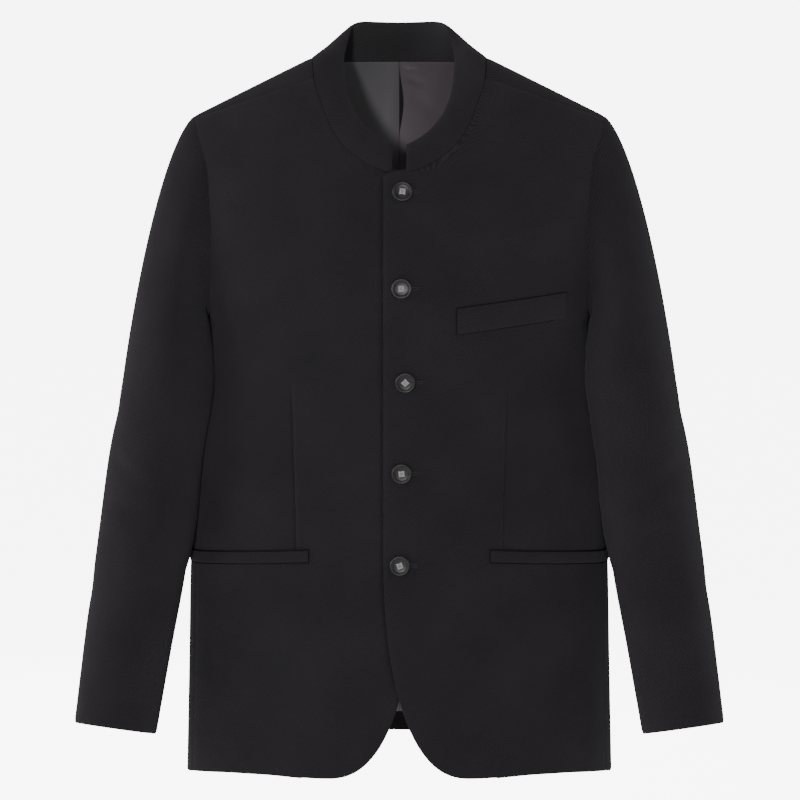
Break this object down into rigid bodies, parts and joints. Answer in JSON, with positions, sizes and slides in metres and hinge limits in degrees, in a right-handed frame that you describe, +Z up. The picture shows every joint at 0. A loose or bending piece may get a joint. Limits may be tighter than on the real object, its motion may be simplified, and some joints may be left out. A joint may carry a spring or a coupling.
{
  "type": "stand-collar suit jacket",
  "caption": "Hollow stand-collar suit jacket in its worn shape, buttoned down a single-breasted front with a cutaway hem, welt pockets and long set-in sleeves; covers the upper body.",
  "frame": {"origin": "middle of the neck at the level where the shoulder ridges meet the collar, where the jacket is held when worn", "axes": "+Z up, the front faces -Y, +X is the wearer's left"},
  "size_m": [0.6654, 0.2465, 0.7762],
  "materials": {
    "black_twill": "matt fine twill",
    "grey_lining": "soft satin lining",
    "dark_horn": "dark polished button"
  },
  "bodies": {
    "root": {"front_left": "black_twill", "front_right": "black_twill", "side_left": "black_twill", "side_right": "black_twill", "back_left": "black_twill", "back_right": "black_twill", "top_sleeve_left": "black_twill", "top_sleeve_right": "black_twill", "under_sleeve_left": "black_twill", "under_sleeve_right": "black_twill", "collar": "black_twill", "lining_left": "grey_lining", "lining_right": "grey_lining", "chest_welt": "black_twill", "hip_welt_left": "black_twill", "hip_welt_right": "black_twill", "button_1": "dark_horn", "button_2": "dark_horn", "button_3": "dark_horn", "button_4": "dark_horn", "button_5": "dark_horn"}
  },
  "joints": []
}
